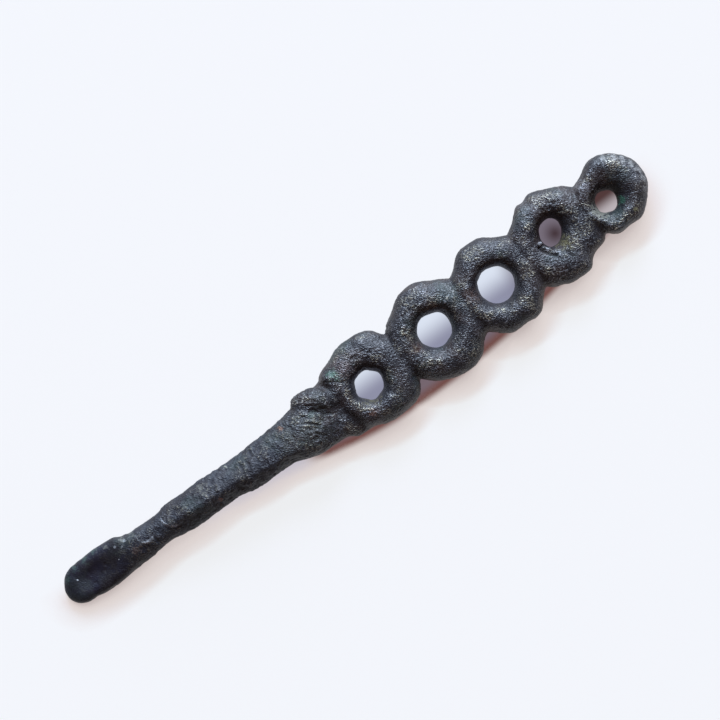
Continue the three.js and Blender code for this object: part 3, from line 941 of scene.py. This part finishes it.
def paper():
    """Pale floor. In the picture and in mirror views part of it is its own colour, so its shadow is light. Near the
    spoon, on the side away from the window, that colour is painted shade, and under the holes it is painted light
    and shade.
    """
    finish = Finish("pale_floor")
    finish.feed(finish.surface.inputs["Base Color"], FLOOR_COLOUR)
    finish.surface.inputs["Roughness"].default_value = 0.95
    finish.surface.inputs["Specular IOR Level"].default_value = 0.0
    ray = finish.node("ShaderNodeLightPath")
    seen = Value(finish, ray.outputs["Is Camera Ray"])
    for kind in ("Is Glossy Ray", "Is Transmission Ray"):
        seen = seen.sum("MAXIMUM", seen, ray.outputs[kind])
    x, y, z = TO_WINDOW
    window = finish.node("ShaderNodeCombineXYZ", X=x, Y=y, Z=z)
    blocked = finish.node("ShaderNodeAmbientOcclusion", {"samples": 16}, Distance=SHADE_REACH * MM,
                          Normal=window.outputs[0])
    free = Value(finish, blocked.outputs["AO"])
    split = finish.node("ShaderNodeSeparateXYZ", Vector=finish.place)
    along, sideways = Value(finish, split.outputs[0]), Value(finish, split.outputs[1])

    # Painted shade on the floor on the side away from the window: violet beside the shaft, warm further out, and
    # dark red in the notches between the rings
    violet = finish.part_of(along, *VIOLET_BEGINS) * (1.0 - finish.part_of(along, *VIOLET_ENDS))
    near = finish.mix(violet, PAINTED_SHADE, VIOLET_PAINTED_SHADE)
    shade_colour = finish.mix(finish.part_of(free, *CLOSE_PLACES), near, WARM_PAINTED_SHADE)
    to_scoop = (NOTCH_LOWEST - along).within(0, 20)
    to_end = (along - NOTCH_LOWEST).within(0, 30)
    bow = NOTCH_BOWS[0] * to_scoop * to_scoop + NOTCH_BOWS[1] * to_end * to_end
    notch_shadow = finish.part_of(sideways - bow, *NOTCH_EDGE) * finish.part_of(along, *NOTCHES_BEGIN)
    notch_shadow = notch_shadow * (1.0 - finish.part_of(free, *NOTCH_PLACES))
    notch_shadow_colour = finish.mix(finish.part_of(sideways - bow, *DEEP_NOTCH), NOTCH_PAINTED_SHADOW, DEEP_NOTCH_PAINTED_SHADOW)
    shade_colour = finish.mix(notch_shadow, shade_colour, notch_shadow_colour)
    open_place = finish.part_of(free, *OPEN_PLACES)
    for place in (finish.part_of(sideways, *UPPER_SIDE), finish.part_of(finish.away(0, 0), *FAR_PLACES)):
        open_place = open_place.sum("MAXIMUM", open_place, place)
    colour = finish.mix(open_place, shade_colour, PAPER_GLOW)

    # Painted light and shade under the holes: lighter at the upper side and darker at the lower side of the first
    # three, dark red at the end ring's upper side, and darkest in the middle of the fourth
    lower_side = 1.0 - finish.part_of(sideways, *HOLES_FADE)
    hole_shade_colour = finish.mix(lower_side, PAINTED_HOLE_LIGHT, PAINTED_HOLE_SHADE)
    end_hole_shade_colour = finish.mix(finish.part_of(sideways, *END_HOLE_FADES), PAINTED_END_HOLE_LIGHT, PAINTED_END_HOLE_SHADE)
    rim = finish.part_of(finish.away(*FOURTH_DARKEST), *FOURTH_FADES)
    fourth_hole_shade_colour = finish.mix(rim, PAINTED_FOURTH_HOLE_SHADOW, PAINTED_FOURTH_HOLE_EDGE_SHADE)
    small_hole_shade_colour = finish.mix(finish.part_of(along, *FOURTH_ENDS), fourth_hole_shade_colour, end_hole_shade_colour)
    hole_shade_colour = finish.mix(finish.part_of(along, *FOURTH_BEGINS), hole_shade_colour, small_hole_shade_colour)
    first, last = RINGS_REACH
    holes = finish.part_of(along, first, first + 0.1) * (1.0 - finish.part_of(along, last, last + 0.1))
    holes = holes * finish.part_of(sideways, *HOLES_BEGIN) * (1.0 - finish.part_of(sideways, *HOLES_END))
    colour = finish.mix(holes, colour, hole_shade_colour)
    share = GLOW_SHARE + (HOLE_SHARE - GLOW_SHARE) * holes
    # The floor's own colour, with its painted light and shade, shows to the camera and in reflections
    glow = finish.node("ShaderNodeEmission", Color=colour, Strength=1.0)
    both = finish.node("ShaderNodeMixShader", n0=share * seen, n1=finish.surface.outputs[0], n2=glow.outputs[0])
    finish.feed(finish.output.inputs["Surface"], both.outputs[0])
    return finish.material


def floor_surface():
    """Floor: flat round the spoon, with its far edge turned up all round as a quarter circle."""
    rise = np.linspace(0, math.pi / 2, 12)
    radius = np.concatenate([[FLOOR_REACH / 2], FLOOR_REACH + FLOOR_RISE * np.sin(rise)])
    height = np.concatenate([[0.0], FLOOR_RISE * (1 - np.cos(rise))])
    turn = np.linspace(0, 2 * math.pi, 96, endpoint=False)
    rows = [radius[:, None] * np.cos(turn), radius[:, None] * np.sin(turn), height[:, None] + 0 * turn]
    vertices, (quads, inner, _) = closed_grid(np.stack(rows, -1), False)
    return vertices[:-1], [*quads[:, ::-1].tolist(), *inner[:, ::-1].tolist()]


def set_stage():
    """Pale floor, broad soft lamps from the picture's top, and the camera straight above."""
    scene = bpy.context.scene
    scene.view_settings.view_transform = "Standard"
    turn = math.radians(PICTURE_TURN)
    right = np.array([math.cos(turn), -math.sin(turn), 0])
    up = np.array([math.sin(turn), math.cos(turn), 0])
    middle = np.array(PICTURE_MIDDLE) * MM

    camera = bpy.data.objects.new("camera", bpy.data.cameras.new("camera"))
    camera.data.lens = LENS
    camera.data.sensor_width = SENSOR
    distance = PICTURE_WIDTH * MM * LENS / SENSOR
    camera.location = middle + [0, 0, distance]
    camera.rotation_euler = (0, 0, -turn)
    camera.data.clip_start = 0.01
    camera.data.clip_end = 10
    scene.collection.objects.link(camera)
    scene.camera = camera

    ground = bpy.data.meshes.new("floor")
    vertices, faces = floor_surface()
    ground.from_pydata(vertices.tolist(), [], faces)
    ground.shade_smooth()
    floor = bpy.data.objects.new("floor", ground)
    scene.collection.objects.link(floor)
    ground.materials.append(paper())

    for name, across, along, height, size, colour in LAMPS:
        light = bpy.data.lights.new(name, "AREA")
        light.shape = "DISK"
        light.size = size
        place = right * across + up * along + [0, 0, height]
        away = float(np.linalg.norm(place))
        level = max(colour)
        light.energy = level * math.pi**2 * away**3 / height
        light.color = [share / level for share in colour]
        lamp = bpy.data.objects.new(name, light)
        lamp.location = middle + place
        lamp.rotation_euler = Vector(place).to_track_quat("Z", "Y").to_euler()
        scene.collection.objects.link(lamp)

    world = bpy.data.worlds.new("soft_room")
    world.use_nodes = True
    room = world.node_tree.nodes["Background"]
    room.inputs["Color"].default_value = (*ROOM_COLOUR, 1)
    room.inputs["Strength"].default_value = 1.0
    scene.world = world


# The spoon

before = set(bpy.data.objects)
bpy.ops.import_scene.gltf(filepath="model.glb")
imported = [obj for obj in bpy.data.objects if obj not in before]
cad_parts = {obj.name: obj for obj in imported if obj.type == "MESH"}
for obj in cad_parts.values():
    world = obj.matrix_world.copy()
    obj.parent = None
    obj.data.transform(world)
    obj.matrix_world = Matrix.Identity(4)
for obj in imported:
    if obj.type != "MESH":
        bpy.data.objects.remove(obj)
cad_low, cad_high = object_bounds()

FINISHES = {
    "scoop_patina": patina("scoop_patina", (-33, -25)),
    "shaft_patina": patina("shaft_patina", (-25.3, -8.9)),
    "neck_patina": patina("neck_patina", (-9, -2.8)),
    "ring_patina": patina("ring_patina", (-2.9, 33)),
}

casting = cast_skin()
limits = [start for _, _, start in SECTIONS] + [SPOON_END]
for (section_name, slot_name, start), end in zip(SECTIONS, limits[1:]):
    section(casting, section_name, start, end).data.materials.append(FINISHES[slot_name])
bpy.data.meshes.remove(casting)

set_stage()
